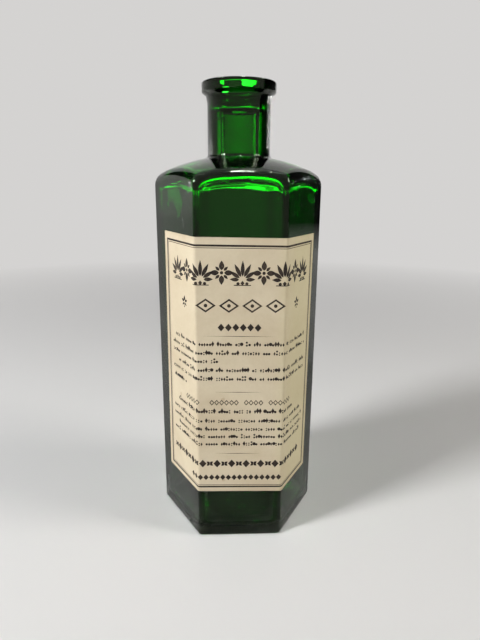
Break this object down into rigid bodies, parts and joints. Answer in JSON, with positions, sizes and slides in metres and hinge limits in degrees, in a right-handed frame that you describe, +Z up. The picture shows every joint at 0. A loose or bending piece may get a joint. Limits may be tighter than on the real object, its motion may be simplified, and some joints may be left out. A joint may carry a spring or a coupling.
{
  "type": "poison bottle",
  "caption": "Tall hexagonal dark green glass bottle with domed shoulder, round neck, banded lip and an aged paper label wrapped over three panels.",
  "frame": {"origin": "middle of the base, on the surface that the bottle stands on", "axes": "+Z up along the bottle's axis; -Y out of the front panel, where the label is centred; +X to the right of it"},
  "size_m": [0.076, 0.0664, 0.2042],
  "materials": {
    "green_glass": "deep emerald bottle glass, glossy, with small seeds and slight waviness",
    "dried_paste": "thin dried paste film",
    "aged_paper": "aged cream paper, matt, slightly stained",
    "printing_ink": "faded brown-black printing ink, matt"
  },
  "bodies": {
    "root": {"bottle_body": "green_glass", "bottle_neck": "green_glass", "applied_lip": "green_glass", "label_paste": "dried_paste", "label_paper": "aged_paper", "label_border": "printing_ink", "label_rows": "printing_ink"}
  },
  "joints": []
}
